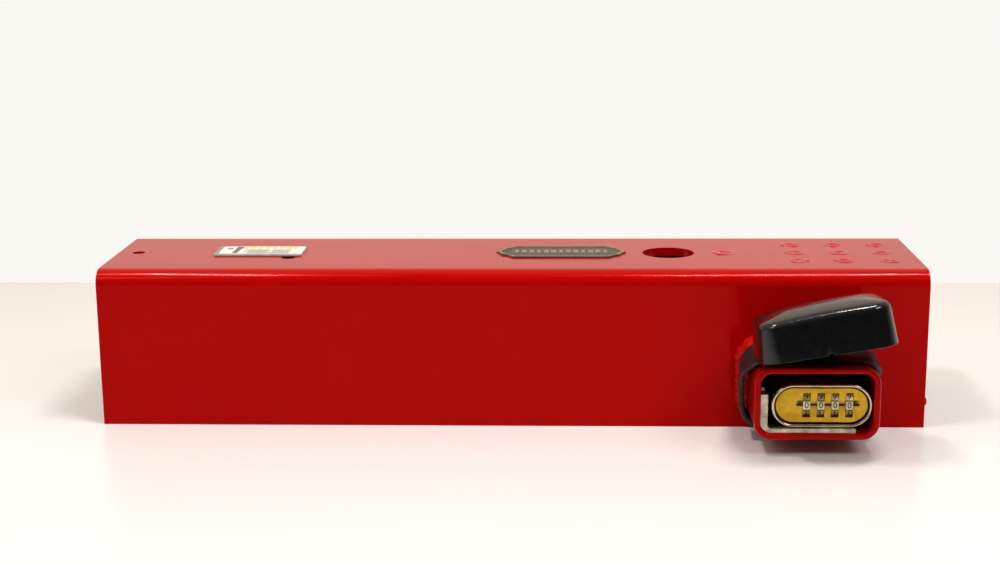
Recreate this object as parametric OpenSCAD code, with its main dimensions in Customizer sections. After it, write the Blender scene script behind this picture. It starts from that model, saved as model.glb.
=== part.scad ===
// Clamp-over lock for heavy equipment: a bent steel channel that drops over a
// machine's levers, a cross bolt carried by a combination lock plug, and a
// rubber boot that shuts the mouth of the lock tube. Millimetres, +Z up.
// The open side of the channel faces down and the lock tube points to -Y.

/* [Channel] */
// Length of the bent channel along X
channel_l = 444.5; // [420:0.5:560]
// Width of the channel over its two flanges
channel_w = 97; // [80:0.5:130]
// Height of the channel from its open edge to the top of the web
channel_h = 85.7; // [72:0.1:110]
// Thickness of the channel plate
plate_t = 4.76; // [3:0.01:6]
// Outside radius of the two bends
bend_r = 8.4; // [7:0.1:12]

/* [Web features] */
// Diameter of the hole for hanging the lock on a hook
hang_hole_d = 7; // [5:0.1:12]
// Distance from the left end to the hanging hole
hang_hole_inset = 11.5; // [9:0.5:30]
// Diameter of the grip hole in the web
grip_hole_d = 28.6; // [20:0.1:36]
// Distance from the right end to the centre of the grip hole
grip_hole_inset = 135; // [130:0.5:160]
// Diameter of the small hole beside the data label
drain_hole_d = 7.6; // [4:0.1:10]
// Diameter of the nine plug welds
plug_weld_d = 10; // [6:0.5:14]
// Distance between plug welds along X
plug_pitch_x = 24.1; // [18:0.1:28]
// Distance between plug welds along Y
plug_pitch_y = 21.4; // [17:0.1:26]
// Diameter of the single plug weld beside the grip hole
lone_weld_d = 12; // [8:0.5:14]
// Length of the lining plate under the web
lining_l = 108; // [104:0.5:112]
// Thickness of the lining plate
lining_t = 4.76; // [3:0.01:6]

/* [Labels] */
// Length of the data label
label_l = 50; // [30:0.5:60]
// Width of the data label
label_w = 25.2; // [15:0.1:34]
// Thickness of the data label
label_t = 0.8; // [0.3:0.1:1.5]
// Length of the badge plate, point to point
badge_l = 72.4; // [50:0.1:80]
// Width of the badge plate
badge_w = 28.8; // [18:0.1:40]
// Thickness of the badge plate
badge_t = 1; // [0.6:0.1:2]

/* [Lock tube] */
// Wall of the rectangular lock tube
tube_t = 3.2; // [2.5:0.1:4]
// Outside corner radius of the lock tube
tube_r = 9; // [7:0.1:11]
// How far the tube stands out from the front flange
tube_out = 50; // [48:0.5:70]
// Distance from the right end of the channel to the tube centre
tube_inset = 64.85; // [55:0.05:80]
// Height of the underside of the tube above the open edge
tube_lift = 9; // [7:0.1:20]
// Leg of the fillet weld around the tube
weld_leg = 5; // [3:0.1:6]
// Free height left above the lock inside the tube
head_room = 6.25; // [4:0.05:12]

/* [Strike] */
// Width of the upright arm of the strike
strike_arm_t = 3.9; // [3:0.1:6]
// Thickness of the strike along the tube floor
strike_floor_t = 2.4; // [1.5:0.1:4]
// Height of the upright arm above the tube floor
strike_arm_h = 20.6; // [15:0.1:22]
// Free gap between the strike arm and the lock bezel
keeper_gap = 1.85; // [1.2:0.05:3]

/* [Lock plug] */
// Radius over the corners of the ten-sided number wheels
wheel_r = 8; // [7:0.1:10]
// Distance between number wheels
dial_pitch = 7.2; // [6:0.1:9]
// Thickness of a number wheel
wheel_t = 3.6; // [2.6:0.1:4.2]
// Least wall of the lock case over the wheels
case_wall = 1.85; // [1.5:0.05:3]
// Width of the bezel ring beyond the case
bezel_lip = 0.9; // [0.6:0.05:1.5]
// How far the bezel sits inside the mouth of the tube
recess = 3; // [2:0.1:6]
// Thickness of the brass face plate
face_t = 1.6; // [1:0.1:2.5]
// Gap between the face plate and the bezel ring
face_gap = 0.8; // [0.4:0.1:1.5]
// How far the wheels stand through the face plate
wheel_proud = 0.6; // [0.2:0.1:1]
// Room for the latch spring beside the wheels
spring_room = 10; // [9:0.1:14]

/* [Latch] */
// Radius of the locking spindle
spindle_r = 2.2; // [1.8:0.1:2.4]
// Radius of the latch bolt
latch_r = 2.8; // [2.5:0.1:3.2]
// Travel of the latch and spindle
latch_travel = 4.2; // [3.6:0.1:4.3]
// Running clearance on the radius of moving shafts
run_clear = 0.05; // [0.02:0.01:0.1]

/* [Cross bolt] */
// Diameter of the cross bolt
bolt_d = 12.7; // [10:0.1:14]
// Depth of the receiver boss on the rear flange
receiver_l = 14; // [8:0.5:20]
// Wall of the receiver boss around the bolt
receiver_wall = 6.6; // [4:0.1:8]
// Diameter of the round end rod beside the front flange
end_rod_d = 4.4; // [3:0.1:6]

/* [Rubber boot] */
// Wall of the rubber cap
cap_wall = 2.4; // [1.8:0.1:3]
// Clearance between the cap and the tube
cap_clear = 0.4; // [0.2:0.05:0.8]
// Depth of the cap
cap_depth = 21.5; // [18:0.1:28]
// Thickness of the rubber band around the tube
band_t = 2.75; // [1.5:0.05:4]
// Width of the rubber band along the tube
band_w = 17; // [10:0.5:24]
// Distance from the front flange to the band
band_inset = 8; // [6:0.5:14]
// Width of the strap between band and cap
strap_w = 26; // [14:0.5:40]
// Tilt of the flipped cap about the tube axis
cap_tilt = 8.97; // [0:0.01:12]
// Lean of the flipped cap about the channel axis
cap_lean = 7.26; // [0:0.01:12]

/* [Hidden] */
$fn = 64;
e = 0.01;                                   // overshoot of cuts

// the front flange stands at this Y, so the whole part is centred on the origin
face_y = -13.25;
right = channel_l / 2;
web_y = channel_w / 2 + 0.5;                // centre line of the web features
web_in = channel_h - plate_t;               // underside of the web

// lock plug sizes, built up from the number wheels outwards
wheel_gap = 0.6;                            // between wheel corners and case
case_h = 2 * (wheel_r + wheel_gap + case_wall);
end_wall = 2.2;                             // case wall beside the spring
divider = 1;                                // wall between spring and wheels
far_wall = 7;                               // case wall at the blind end
wheels_w = 4 * dial_pitch + 0.4;            // pocket for the four wheels
case_w = end_wall + spring_room + divider + wheels_w + far_wall;
bezel_w = case_w + 2 * bezel_lip;
bezel_h = case_h + 2 * bezel_lip;
bezel_skirt = 1.8;                          // bezel's grip over the case
floor_gap = 0.25;                           // under the bezel
side_gap = 0.15;                            // beside the bezel

// lock tube, built around the bezel
tube_w = 2 * tube_t + strike_arm_t + keeper_gap + bezel_w + side_gap;
tube_h = 2 * tube_t + strike_floor_t + floor_gap + bezel_h + head_room;
tube_x = right - tube_inset;
tube_z = tube_lift + tube_h / 2;
floor_z = tube_lift + tube_t;
lock_x = tube_x + tube_w / 2 - tube_t - side_gap - bezel_w / 2;
lock_z = floor_z + strike_floor_t + floor_gap + bezel_h / 2;
arm_x = tube_x - tube_w / 2 + tube_t;       // left inner wall of the tube
keeper_x = arm_x + strike_arm_t;            // face of the strike arm

// stations along Y, measured from the front flange, negative towards the user
bezel_y = recess - tube_out;
plate_y = bezel_y + 1.6;                    // front of the brass plate
case_y = plate_y + face_t;                  // front of the lock case
wheel_flat = wheel_r * cos(18);
wheel_y = plate_y - wheel_proud + wheel_flat;
pocket_end = wheel_y + wheel_r + 1;
back_y = -10;                               // rear of the lock case
back_t = 2;
nut_t = 5;
bolt_seat = pocket_end + 4;                 // head end of the cross bolt
bolt_end = channel_w - plate_t - 2.24;

// stations along X inside the lock plug
case_left = lock_x - case_w / 2;
spring_x0 = case_left + end_wall;
spring_x1 = spring_x0 + spring_room;
pocket_x0 = spring_x1 + divider;
pocket_x1 = pocket_x0 + wheels_w;
spindle_x1 = pocket_x1 + far_wall - 1.9;
collar_t = 1.2;
collar_x = spring_x0 + latch_travel + 0.5;  // unlocked place of the collar
latch_tip = keeper_x + latch_travel - 1.75;
neck_r = 1.5;

// number wheels and their sleeves
sleeve_l = dial_pitch - 0.3;
sleeve_r = spindle_r + 2.6;
chamber_r = spindle_r + 1.8;
ring_l = 1;
fin_w = 1.2;
fin_l = 1.4;
function dial_x(i) = pocket_x0 + 0.2 + dial_pitch * (i - 0.5);

// boot
tube_top = tube_z + tube_h / 2;
cap_w = tube_w + 2 * (cap_clear + cap_wall);
cap_h = tube_h + 2 * (cap_clear + cap_wall);
cap_r = tube_r + 2.3;
cap_gap = 1;                                // under the lowest corner of the cap
strap_y = -band_inset - band_w - 0.4;       // front face of the rising strap
cap_strap_gap = 0.97;                       // between it and the cap's lower back edge
cap_pos = [tube_x + 3.12, strap_y - cap_strap_gap - cap_h / 2 * cos(cap_lean), tube_top + cap_gap
           + cap_w / 2 * sin(cap_tilt) + cap_h / 2 * cos(cap_tilt) * sin(cap_lean)];

red = [0.66, 0.02, 0.02];
steel = [0.62, 0.63, 0.64];
zinc = [0.66, 0.65, 0.61];
gold = [0.80, 0.62, 0.22];
black = [0.06, 0.06, 0.07];

// ---- helpers ---------------------------------------------------------------

// moves children from flange coordinates to the part's own frame
module from_face() translate([0, face_y, 0]) children();

// extrudes an X-Z outline along Y
module along_y(y0, y1) translate([0, y1, 0]) rotate([90, 0, 0]) linear_extrude(y1 - y0) children();

// extrudes a Y-Z outline along X
module along_x(x0, x1) translate([x0, 0, 0]) rotate([90, 0, 90]) linear_extrude(x1 - x0) children();

module along_z(z0, z1) translate([0, 0, z0]) linear_extrude(z1 - z0) children();

module rrect(w, h, r) {
    square([w - 2 * r, h], center = true);
    square([w, h - 2 * r], center = true);
    for (sx = [-1, 1], sy = [-1, 1])
        translate([sx * (w / 2 - r), sy * (h / 2 - r)]) circle(r);
}

module stadium(w, h) {
    square([w - h, h], center = true);
    for (s = [-1, 1]) translate([s * (w - h) / 2, 0]) circle(d = h);
}

// round bar along Y on the lock's centre line
module lock_round(r, y0, y1) along_y(y0, y1) translate([lock_x, lock_z]) circle(r);

// round bar along X on the number wheels' centre line
module wheel_round(r, x0, x1) along_x(x0, x1) translate([wheel_y, lock_z]) circle(r);

module plug_places() {
    for (i = [0:2], j = [-1:1])
        translate([right - 17 - i * plug_pitch_x, web_y - 0.5 + j * plug_pitch_y]) children();
}

lone_weld_x = right - grip_hole_inset + grip_hole_d / 2 + lone_weld_d / 2 + 10.4;

// ---- channel weldment ------------------------------------------------------

module channel_outline() {
    difference() {
        union() {
            square([channel_w, channel_h - bend_r]);
            translate([bend_r, 0]) square([channel_w - 2 * bend_r, channel_h]);
            for (y = [bend_r, channel_w - bend_r]) translate([y, channel_h - bend_r]) circle(bend_r);
        }
        inner = bend_r - plate_t;
        translate([plate_t, -1]) square([channel_w - 2 * plate_t, web_in - inner + 1]);
        translate([bend_r, 0]) square([channel_w - 2 * bend_r, web_in]);
        for (y = [bend_r, channel_w - bend_r]) translate([y, channel_h - bend_r]) circle(inner);
    }
}

module channel() {
    color(red) from_face() difference() {
        along_x(-right, right) channel_outline();
        along_z(web_in - 1, channel_h + 1) {
            translate([-right + hang_hole_inset, web_y]) circle(d = hang_hole_d);
            translate([right - grip_hole_inset, web_y]) circle(d = grip_hole_d);
            translate([-right + 98.4, web_y - label_w / 2 + 1.6 - 1.9]) circle(d = drain_hole_d);
            translate([lone_weld_x, web_y]) circle(d = lone_weld_d);
            plug_places() circle(d = plug_weld_d);
        }
        lock_round(bolt_d / 2 + 4.65, -1, plate_t + 1);
    }
}

// flat plate under the web, held by the plug welds
module lining_plate() {
    color(red) from_face() along_z(web_in - lining_t, web_in)
        translate([right - 7 - lining_l, bend_r + 2]) square([lining_l, channel_w - 2 * bend_r - 4]);
}

module plug_welds() {
    color(red) from_face() along_z(web_in, channel_h - 0.4) plug_places() circle(d = plug_weld_d);
}

module lone_plug_weld() {
    color(red) from_face() along_z(web_in, channel_h - 0.4)
        translate([lone_weld_x, web_y]) circle(d = lone_weld_d);
}

module lock_tube() {
    color(red) from_face() along_y(-tube_out, 0) translate([tube_x, tube_z]) difference() {
        rrect(tube_w, tube_h, tube_r);
        rrect(tube_w - 2 * tube_t, tube_h - 2 * tube_t, tube_r - tube_t);
    }
}

// fillet bead around the tube where it meets the front flange
module lock_tube_weld() {
    flat_w = tube_w - 2 * tube_r;
    flat_h = tube_h - 2 * tube_r;
    color(red) from_face() translate([tube_x, 0, tube_z]) {
        for (s = [0, 180]) rotate([0, s, 0]) {
            translate([-flat_w / 2, 0, tube_h / 2]) rotate([90, 0, 90]) linear_extrude(flat_w)
                polygon([[0, 0], [-weld_leg, 0], [0, weld_leg]]);
            translate([tube_w / 2, 0, -flat_h / 2]) linear_extrude(flat_h)
                polygon([[0, 0], [0, -weld_leg], [weld_leg, 0]]);
        }
        for (q = [0:3]) {
            sx = (q == 0 || q == 3) ? 1 : -1;
            sz = q < 2 ? 1 : -1;
            translate([sx * flat_w / 2, 0, sz * flat_h / 2]) rotate([90, 0, 0])
                rotate([0, 0, q * 90]) rotate_extrude(angle = 90)
                    polygon([[tube_r, 0], [tube_r + weld_leg, 0], [tube_r, weld_leg]]);
        }
    }
}

// L-shaped strike: an upright arm with the keeper notch and a floor strip
module strike_bracket() {
    iw = tube_w - 2 * tube_t;
    ih = tube_h - 2 * tube_t;
    color(zinc) from_face() difference() {
        along_y(bezel_y - 1.5, -3) intersection() {
            translate([tube_x, tube_z]) rrect(iw, ih, tube_r - tube_t);
            union() {
                translate([arm_x, floor_z]) square([strike_arm_t, strike_arm_h]);
                translate([arm_x, floor_z]) square([bezel_w - 2.5, strike_floor_t]);
                translate([keeper_x, floor_z + strike_floor_t]) difference() {
                    square(2.2);
                    translate([2.2, 2.2]) circle(2.2);
                }
            }
        }
        translate([arm_x - 1, wheel_y - latch_r - 0.6, lock_z - latch_r - 0.6])
            cube([strike_arm_t + 2, 2 * latch_r + 1.2, tube_h]);
    }
}

// tack weld that holds the strike to the tube floor at its rear end
module strike_tack_weld() {
    color(zinc) from_face() translate([keeper_x + 8, -3, floor_z]) rotate([90, 0, 90])
        linear_extrude(14) polygon([[0, 0], [2.2, 0], [0, strike_floor_t]]);
}

// bush that carries the cross bolt through the front flange
module bolt_guide() {
    color(steel) from_face() difference() {
        union() {
            lock_round(bolt_d / 2 + 4.65, 0, plate_t);
            lock_round(bolt_d / 2 + 5.8, plate_t, plate_t + 4.2);
        }
        lock_round(bolt_d / 2 + run_clear, -1, plate_t + 6);
    }
}

// boss on the inside of the rear flange that takes the bolt's tip
module bolt_receiver() {
    color(steel) from_face() difference() {
        lock_round(bolt_d / 2 + receiver_wall, channel_w - plate_t - receiver_l, channel_w - plate_t);
        lock_round(bolt_d / 2 + run_clear, channel_w - plate_t - receiver_l - 1, channel_w);
    }
}

module receiver_weld() {
    r = bolt_d / 2 + receiver_wall;
    color(red) from_face() translate([lock_x, channel_w - plate_t, lock_z]) rotate([90, 0, 0])
        rotate_extrude() polygon([[r, 0], [r + 3.5, 0], [r, 3.5]]);
}

// round rod laid along the foot of the front flange, its end proud of the channel
module end_rod() {
    color(red) from_face() along_x(right - 30, right + 2)
        translate([plate_t + end_rod_d / 2, 12.7]) circle(d = end_rod_d);
}

// ---- labels ----------------------------------------------------------------

module data_label() {
    color(zinc) from_face() along_z(channel_h, channel_h + label_t)
        translate([-right + 80.65, web_y + 1.6]) rrect(label_l, label_w, 2.5);
}

module badge_outline(l, w) {
    a = l / 2;
    b = w / 2;
    shoulder = [[a, 0], [a - 5.6, b * 0.45], [a - 9.2, b * 0.45], [a - 13, b]];
    left = [for (p = shoulder) [-p[0], p[1]]];
    polygon(concat(shoulder, [for (k = [3:-1:0]) left[k]],
                   [for (k = [1:3]) [left[k][0], -left[k][1]]],
                   [for (k = [3:-1:1]) [shoulder[k][0], -shoulder[k][1]]]));
}

// shaped plate with a raised border and plain raised bars
module badge_plate() {
    color([0.36, 0.36, 0.35]) from_face() translate([27.6 / 222.25 * right, web_y, 0]) {
        along_z(channel_h, channel_h + badge_t - 0.3) badge_outline(badge_l, badge_w);
        along_z(channel_h + badge_t - 0.3 - e, channel_h + badge_t) {
            difference() {
                badge_outline(badge_l, badge_w);
                badge_outline(badge_l - 3.4, badge_w - 2.4);
            }
            translate([0, 5.2]) square([34, 3.4], center = true);
            translate([0, -0.6]) square([44, 4.4], center = true);
            translate([0, -7]) square([28, 2.6], center = true);
        }
    }
}

// ---- rubber boot -----------------------------------------------------------

module boot_band() {
    color(black) from_face() along_y(-band_inset - band_w, -band_inset) translate([tube_x, tube_z])
        difference() {
            rrect(tube_w + 2 * band_t, tube_h + 2 * band_t, tube_r + band_t);
            rrect(tube_w, tube_h, tube_r);
        }
}

// strap that rises from the band to the back of the flipped cap
module boot_strap() {
    top = tube_top + band_t;
    color(black) from_face() translate([cap_pos[0] - strap_w / 2, 0, 0]) {
        translate([0, strap_y + 1.6, top]) cube([strap_w, band_w - 3, 2]);
        translate([0, strap_y, top + 0.2]) cube([strap_w, 2, 14]);
    }
}

module cap_slab(inset, z, r) translate([0, 0, z]) linear_extrude(0.2)
    rrect(cap_w - 2 * inset, cap_h - 2 * inset, r, $fn = 32);

module weather_cap() {
    color(black) from_face() translate(cap_pos) rotate([-cap_lean, -cap_tilt, 1.39]) difference() {
        hull() {
            cap_slab(0, 0, cap_r);
            cap_slab(1.5, cap_depth - 4.2, cap_r - 1.2);
            cap_slab(2.4, cap_depth - 1.6, cap_r - 2);
            cap_slab(4.6, cap_depth - 0.2, cap_r - 3);
        }
        hull() {
            cap_slab(cap_wall, -0.2, cap_r - cap_wall);
            cap_slab(cap_wall + 1.7, cap_depth - cap_wall - 0.2, cap_r - cap_wall - 1.4);
        }
        translate([0, -cap_h / 2 + cap_wall + 1, 0]) rotate([90, 0, 0])
            cylinder(h = 2 * cap_wall + 2, r = 2.2, $fn = 24);
    }
}

// ---- lock plug -------------------------------------------------------------

module bezel_ring() {
    color([0.8, 0.8, 0.8]) from_face() difference() {
        along_y(bezel_y, case_y + bezel_skirt) translate([lock_x, lock_z]) stadium(bezel_w, bezel_h);
        along_y(bezel_y - 1, case_y + 5) translate([lock_x, lock_z])
            stadium(case_w - 2 * 0.6, case_h - 2 * 0.6);
        along_y(case_y, case_y + 5) translate([lock_x, lock_z]) stadium(case_w, case_h);
    }
}

module face_plate() {
    half = sqrt(pow(wheel_r, 2) - pow(wheel_y - case_y, 2)) + 0.5;
    color(gold) from_face() difference() {
        along_y(plate_y, case_y) translate([lock_x, lock_z])
            stadium(case_w - 1.2 - 2 * face_gap, case_h - 1.2 - 2 * face_gap);
        for (i = [1:4])
            translate([dial_x(i) - wheel_t / 2 - 0.15, plate_y - 1, lock_z - half])
                cube([wheel_t + 0.3, face_t + 2, 2 * half]);
        // index groove across the wheels
        translate([pocket_x0 - 2.6, plate_y - 1, lock_z - 0.35])
            cube([wheels_w + 5.2, 1.4, 0.7]);
    }
}

module lock_case() {
    color(steel) from_face() difference() {
        along_y(case_y, back_y) translate([lock_x, lock_z]) stadium(case_w, case_h);
        // pocket for the number wheels
        translate([pocket_x0, case_y - 1, lock_z - wheel_r - wheel_gap])
            cube([wheels_w, pocket_end - case_y + 1, 2 * (wheel_r + wheel_gap)]);
        // spring chamber, latch hole, divider hole and blind bore
        wheel_round(collar_r + 0.4, spring_x0, spring_x1);
        wheel_round(latch_r + run_clear, case_left - 1, spring_x0 + e);
        wheel_round(spindle_r + run_clear, spring_x1 - e, pocket_x0 + e);
        wheel_round(spindle_r + run_clear, pocket_x1 - e, spindle_x1 + 0.6);
        lock_round(bolt_d / 2, bolt_seat, back_y + 1);
        along_z(lock_z - bolt_pin_l / 2, lock_z + bolt_pin_l / 2)
            translate([lock_x, bolt_pin_y]) circle(d = bolt_pin_d);
        screw_places() along_y(back_y - 8, back_y + 1) circle(d = 2.6);
    }
}

collar_r = latch_r + 1.4;
bolt_pin_d = 3;
bolt_pin_l = case_h - 3;
bolt_pin_y = (bolt_seat + back_y) / 2 + 1;

module screw_places() {
    for (s = [-1, 1]) translate([lock_x + s * (case_w / 2 - 7.5), 0, lock_z]) children();
}

module case_back() {
    color(steel) from_face() difference() {
        along_y(back_y, back_y + back_t) translate([lock_x, lock_z]) stadium(case_w, case_h);
        lock_round(bolt_d / 2, back_y - 1, back_y + back_t + 1);
        screw_places() along_y(back_y - 1, back_y + back_t + 1) circle(d = 2.6);
    }
}

module case_screws() {
    color(steel) from_face() screw_places() {
        along_y(back_y - 8, back_y + back_t) circle(d = 2.6);
        difference() {
            along_y(back_y + back_t, back_y + back_t + 1.6) circle(d = 5);
            along_y(back_y + back_t + 0.6, back_y + back_t + 2) circle(d = 2.2, $fn = 6);
        }
    }
}

// hardened bolt that crosses the throat between the two flanges
module cross_bolt() {
    color(steel) from_face() difference() {
        translate([lock_x, bolt_seat, lock_z]) rotate([-90, 0, 0]) rotate_extrude()
            polygon([[0, 0], [bolt_d / 2, 0], [bolt_d / 2, bolt_end - bolt_seat - 1.8],
                     [bolt_d / 2 - 1.8, bolt_end - bolt_seat], [0, bolt_end - bolt_seat]]);
        along_z(lock_z - bolt_pin_l, lock_z + bolt_pin_l)
            translate([lock_x, bolt_pin_y]) circle(d = bolt_pin_d);
    }
}

module bolt_nut() {
    color(steel) from_face() along_y(back_y + back_t, back_y + back_t + nut_t)
        translate([lock_x, lock_z]) difference() {
            circle(bolt_d / 2 + 3.6, $fn = 6);
            circle(d = bolt_d);
        }
}

// roll pin through the case and the bolt
module bolt_pin() {
    color(steel) from_face() along_z(lock_z - bolt_pin_l / 2, lock_z + bolt_pin_l / 2)
        translate([lock_x, bolt_pin_y]) circle(d = bolt_pin_d);
}

// leaf with one finger behind each number wheel
module detent_comb() {
    y = wheel_y + wheel_r + 0.15;
    color(steel) from_face() {
        for (i = [1:4]) translate([dial_x(i) - 1.4, y, lock_z - wheel_r + 1]) cube([2.8, 0.4, wheel_r + 3]);
        translate([pocket_x0, y, lock_z - wheel_r - wheel_gap]) cube([wheels_w, 0.4, 2.6]);
    }
}

// compression spring between the latch collar and the divider
coil_turns = 4;
coil_wire = 0.3;
coil_r = spindle_r + 0.9;
function coil_ring(a, x) = [for (k = [0:7]) let (r = coil_r + coil_wire * cos(k * 45))
    [x + coil_wire * sin(k * 45), r * cos(a), r * sin(a)]];

module latch_spring() {
    x0 = collar_x + collar_t + coil_wire + 0.05;
    x1 = spring_x1 - coil_wire - 0.05;
    steps = coil_turns * 16;
    pts = [for (s = [0:steps]) each coil_ring(s * 22.5, x0 + (x1 - x0) * s / steps)];
    sides = [for (s = [0:steps - 1], k = [0:7])
        [s * 8 + k, s * 8 + (k + 1) % 8, (s + 1) * 8 + (k + 1) % 8, (s + 1) * 8 + k]];
    ends = [[for (k = [7:-1:0]) k], [for (k = [0:7]) steps * 8 + k]];
    color(steel) from_face() translate([0, wheel_y, lock_z])
        polyhedron(pts, concat(sides, ends), convexity = 8);
}

// ---- number wheels ---------------------------------------------------------

// ten-sided wheel, one flat for each digit
module dial_wheel(i) {
    color(gold) from_face() difference() {
        along_x(dial_x(i) - wheel_t / 2, dial_x(i) + wheel_t / 2) translate([wheel_y, lock_z])
            rotate(18) circle(wheel_r, $fn = 10);
        wheel_round(sleeve_r, dial_x(i) - wheel_t, dial_x(i) + wheel_t);
    }
}

// sleeve with an inner ring; the ring's gate lets the spindle fin pass at one digit
module dial_sleeve(i) {
    x = dial_x(i);
    color(steel) from_face() difference() {
        wheel_round(sleeve_r, x - sleeve_l / 2, x + sleeve_l / 2);
        wheel_round(chamber_r, x - sleeve_l / 2 - 1, x - ring_l / 2);
        wheel_round(chamber_r, x + ring_l / 2, x + sleeve_l / 2 + 1);
        wheel_round(spindle_r + run_clear, x - ring_l, x + ring_l);
        translate([x - ring_l, wheel_y, lock_z - fin_w / 2 - 0.15])
            cube([2 * ring_l, chamber_r - 0.1, fin_w + 0.3]);
    }
}

module dial_wheel_1() dial_wheel(1);
module dial_wheel_2() dial_wheel(2);
module dial_wheel_3() dial_wheel(3);
module dial_wheel_4() dial_wheel(4);
module dial_sleeve_1() dial_sleeve(1);
module dial_sleeve_2() dial_sleeve(2);
module dial_sleeve_3() dial_sleeve(3);
module dial_sleeve_4() dial_sleeve(4);

// ---- latch -----------------------------------------------------------------

// cross pin that ties the latch bolt to the spindle, short of the bolt's skin
module latch_pin_round() along_z(lock_z - latch_r + 0.8, lock_z + latch_r - 0.8)
    translate([collar_x - 2, wheel_y]) circle(d = 1.2);

// spindle with a fin for each wheel, drawn back to the unlocked place
module locking_spindle() {
    color(steel) from_face() {
        wheel_round(spindle_r, collar_x + collar_t, spindle_x1);
        difference() {
            wheel_round(neck_r, collar_x - 5, collar_x + collar_t + e);
            latch_pin_round();
        }
        for (i = [1:4])
            translate([dial_x(i) + latch_travel / 2 - fin_l / 2, wheel_y, lock_z - fin_w / 2])
                cube([fin_l, chamber_r - 0.3, fin_w]);
    }
}

module latch_bolt() {
    color(zinc) from_face() difference() {
        union() {
            wheel_round(latch_r, latch_tip, collar_x + e);
            wheel_round(collar_r, collar_x, collar_x + collar_t);
        }
        wheel_round(neck_r, collar_x - 5, collar_x + collar_t + 1);
        // bevel that lets the latch ride over the strike on the way in
        translate([latch_tip, wheel_y + latch_r * 0.35, lock_z - 5]) rotate([0, 0, 45])
            cube([8, 8, 10]);
        latch_pin_round();
    }
}

module latch_pin() {
    color(steel) from_face() latch_pin_round();
}

// ---- all nodes -------------------------------------------------------------

channel();
lining_plate();
plug_welds();
lone_plug_weld();
lock_tube();
lock_tube_weld();
strike_bracket();
strike_tack_weld();
bolt_guide();
bolt_receiver();
receiver_weld();
end_rod();
data_label();
badge_plate();
boot_band();
boot_strap();
weather_cap();
bezel_ring();
face_plate();
lock_case();
case_back();
case_screws();
cross_bolt();
bolt_nut();
bolt_pin();
detent_comb();
latch_spring();
dial_wheel_1();
dial_wheel_2();
dial_wheel_3();
dial_wheel_4();
dial_sleeve_1();
dial_sleeve_2();
dial_sleeve_3();
dial_sleeve_4();
locking_spindle();
latch_bolt();
latch_pin();
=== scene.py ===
"""Clamp-over equipment lock: a red steel channel with a combination lock tube and a rubber boot."""

from __future__ import annotations

import logging
import math
from collections.abc import Iterable
from dataclasses import dataclass
from enum import Enum

import bmesh
import bpy
from bmesh.types import BMEdge, BMesh, BMFace, BMVert
from bpy.types import ID, Material, Mesh, Node, NodeSocket, NodeTree, Object
from mathutils import Euler, Matrix, Vector, noise


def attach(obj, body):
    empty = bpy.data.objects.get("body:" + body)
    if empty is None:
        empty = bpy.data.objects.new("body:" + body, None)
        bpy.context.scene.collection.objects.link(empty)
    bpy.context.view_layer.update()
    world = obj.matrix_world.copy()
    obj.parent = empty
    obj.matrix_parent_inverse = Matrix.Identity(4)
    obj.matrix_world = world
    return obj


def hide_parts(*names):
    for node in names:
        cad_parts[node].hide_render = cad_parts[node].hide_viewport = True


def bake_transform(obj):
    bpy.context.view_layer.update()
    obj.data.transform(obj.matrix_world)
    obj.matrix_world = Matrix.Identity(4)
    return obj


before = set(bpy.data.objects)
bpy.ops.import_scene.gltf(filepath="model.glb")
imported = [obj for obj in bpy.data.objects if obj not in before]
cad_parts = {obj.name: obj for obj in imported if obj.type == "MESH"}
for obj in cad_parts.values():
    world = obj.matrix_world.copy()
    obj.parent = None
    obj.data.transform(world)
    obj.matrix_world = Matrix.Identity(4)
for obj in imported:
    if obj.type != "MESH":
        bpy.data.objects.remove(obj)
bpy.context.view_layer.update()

log = logging.getLogger("equipment_lock")

Point2 = tuple[float, float]
Point3 = tuple[float, float, float]

MM = 0.001
TO_METRES = Matrix.Scale(MM, 4)
# Face of the front flange, in mm. Depths are given from it, negative towards the user.
FACE_Y = -13.25
# A wheel has ten flats; half a flat brings one of them to the front.
FLAT_DEG = 36
HALF_FLAT_DEG = 18


# ---- colour and node helpers -----------------------------------------------


def linear(hex_colour: str) -> tuple[float, float, float, float]:
    """Turns an sRGB hex colour into linear light.

    Args:
        hex_colour: Six hex digits, such as "c01010".

    Returns:
        Red, green, blue and an alpha of one.
    """
    channels = [int(hex_colour[i : i + 2], 16) / 255 for i in (0, 2, 4)]
    r, g, b = (c / 12.92 if c <= 0.04045 else ((c + 0.055) / 1.055) ** 2.4 for c in channels)
    return (r, g, b, 1.0)


def feed(tree: NodeTree, node: Node, **links: object) -> None:
    """Sets or links the inputs of a node.

    Args:
        tree: The node's tree.
        node: The node.
        links: Input name, with _ for a space, to a value or an output socket;
            a name such as in0 means the input of that number.
    """
    for name, value in links.items():
        numbered = name[:2] == "in" and name[2:].isdigit()
        socket = node.inputs[int(name[2:]) if numbered else name.replace("_", " ")]
        if isinstance(value, NodeSocket):
            tree.links.new(value, socket)
        else:
            socket.default_value = value


def add_node(tree: NodeTree, kind: str, settings: dict | None = None, **links: object) -> Node:
    """Adds one node with its settings, values and links.

    Args:
        tree: The node tree that takes the node.
        kind: Blender's type name of the node.
        settings: Attributes of the node itself.
        links: Its inputs, as feed() takes them.

    Returns:
        The new node.
    """
    node = tree.nodes.new(kind)
    for name, value in (settings or {}).items():
        setattr(node, name, value)
    feed(tree, node, **links)
    return node


def speckle(
    tree: NodeTree, place: NodeSocket, scale: float, detail: float, roughness: float = 0.5
) -> NodeSocket:
    """Value of a noise pattern with scale cells a metre and some detail of finer cells."""
    values = {"Scale": scale, "Detail": detail, "Roughness": roughness}
    return add_node(tree, "ShaderNodeTexNoise", Vector=place, **values).outputs["Fac"]


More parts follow.
